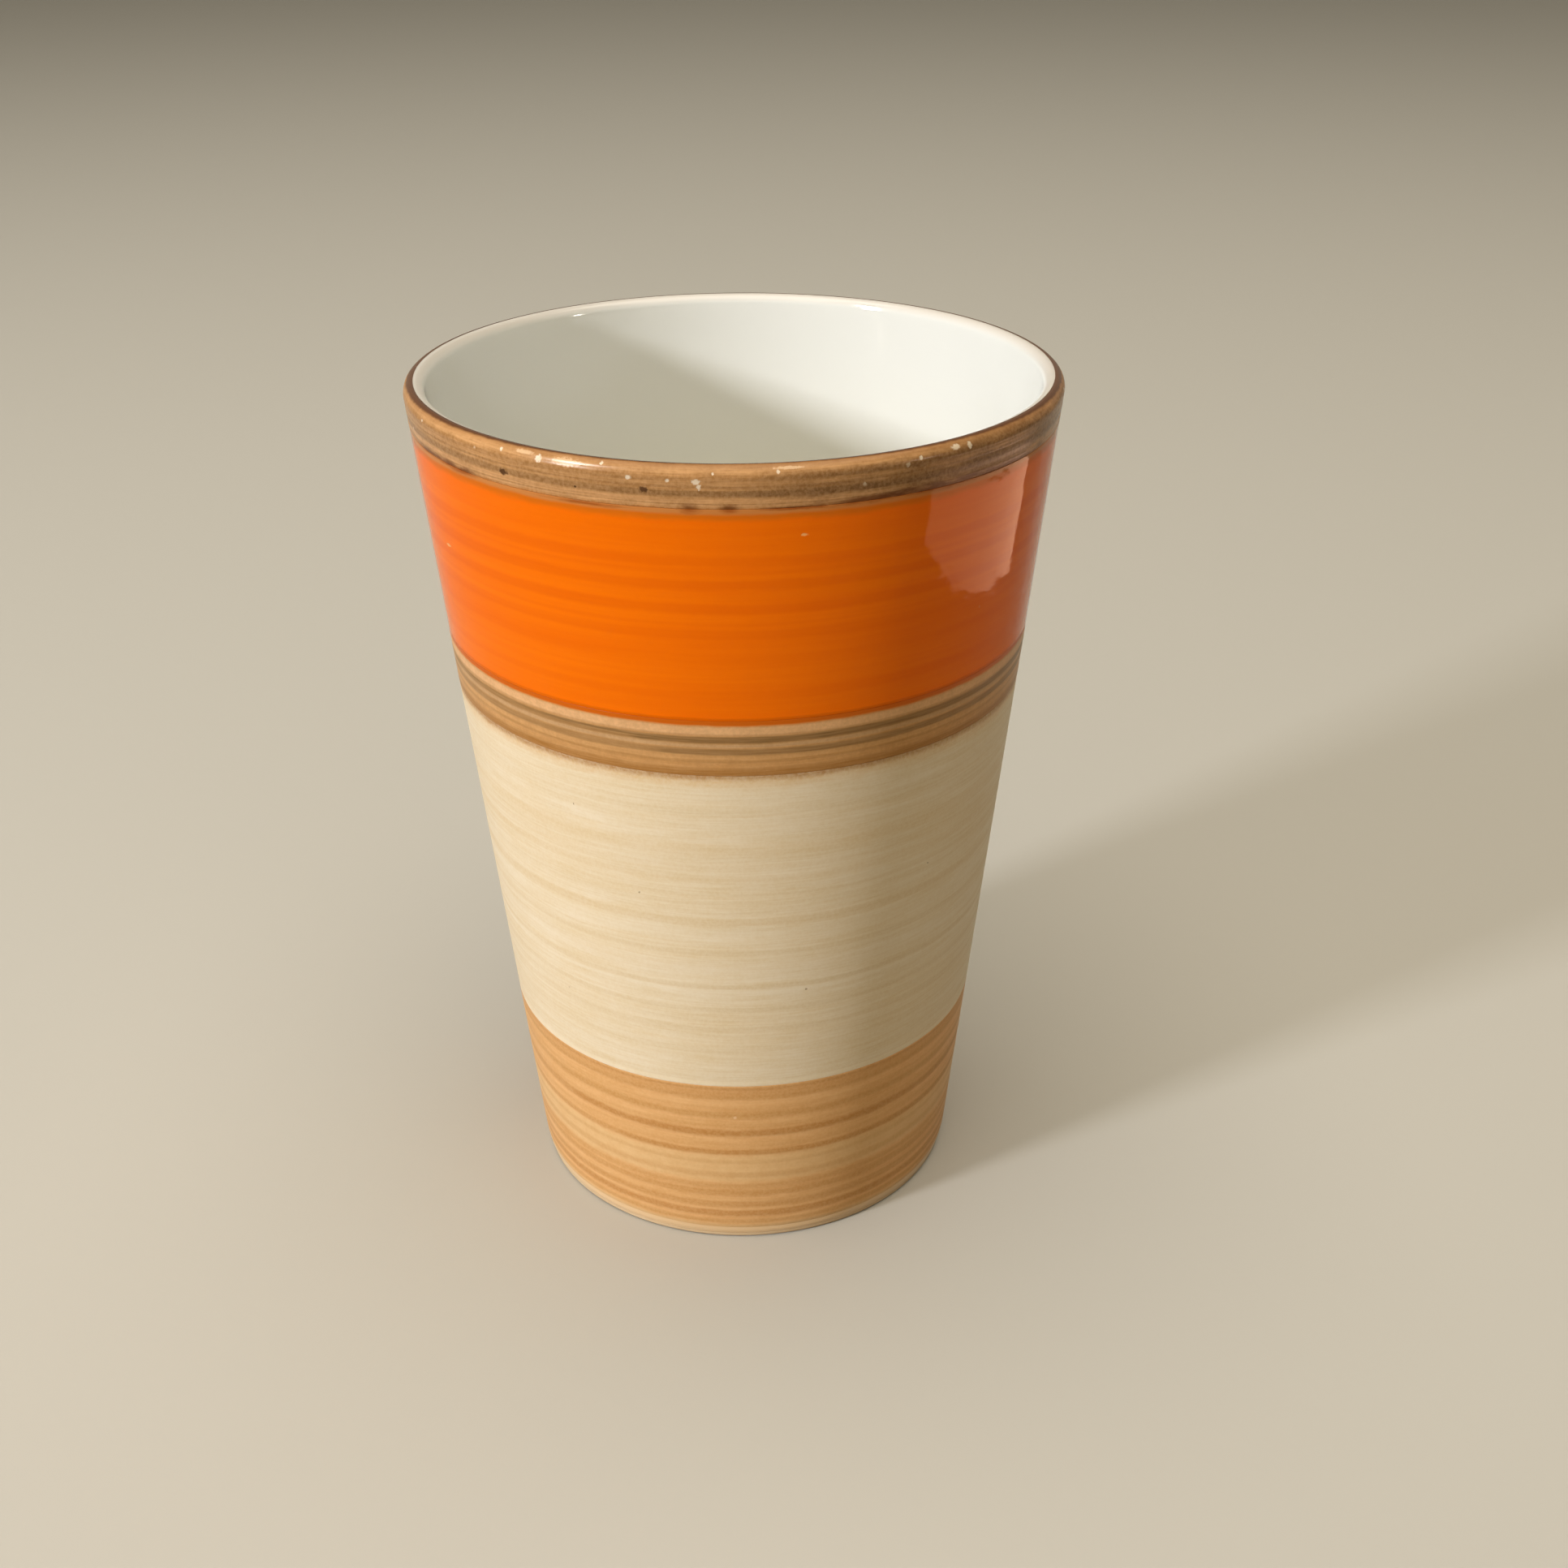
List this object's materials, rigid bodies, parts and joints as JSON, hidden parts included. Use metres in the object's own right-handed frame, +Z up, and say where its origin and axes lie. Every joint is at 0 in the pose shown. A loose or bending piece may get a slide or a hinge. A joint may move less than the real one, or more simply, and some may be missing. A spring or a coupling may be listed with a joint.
{
  "type": "lemonade beaker",
  "caption": "Tapered handleless beaker of glazed earthenware for cold drinks, banded outside in orange, cream and brown enamels, with a rounded lip and a recessed foot.",
  "frame": {"origin": "centre of the foot ring's standing face, on the table", "axes": "+Z up along the beaker's axis of revolution, towards its mouth; the beaker is round, so +X and +Y are any two directions square to it, and -Y faces the picture's viewer"},
  "size_m": [0.078, 0.078, 0.108],
  "materials": {
    "clay": "bare fired earthenware, pale buff, matt, rubbed smooth where it stands",
    "white_glaze": "white glaze, glossy, faintly ivory where it lies thicker",
    "recess_glaze": "white glaze, glossy, a little thinner and warmer than inside the cup",
    "rim_enamel": "brown enamel banded by brush over grey lines, satin to glossy, worn through in flecks on the lip",
    "orange_enamel": "bright orange enamel, glossy, with faint brush streaks round the cup",
    "lined_enamel": "tan and grey enamel lines run round by brush, satin, with fine ridges",
    "cream_enamel": "thin cream enamel, satin, with fine brush streaks and pinholes",
    "foot_enamel": "thin light brown enamel, satin, with darker brush lines"
  },
  "bodies": {
    "root": {"clay_body": "clay", "white_glaze": "white_glaze", "recess_glaze": "recess_glaze", "rim_band": "rim_enamel", "orange_band": "orange_enamel", "lined_band": "lined_enamel", "cream_band": "cream_enamel", "foot_band": "foot_enamel"}
  },
  "joints": []
}
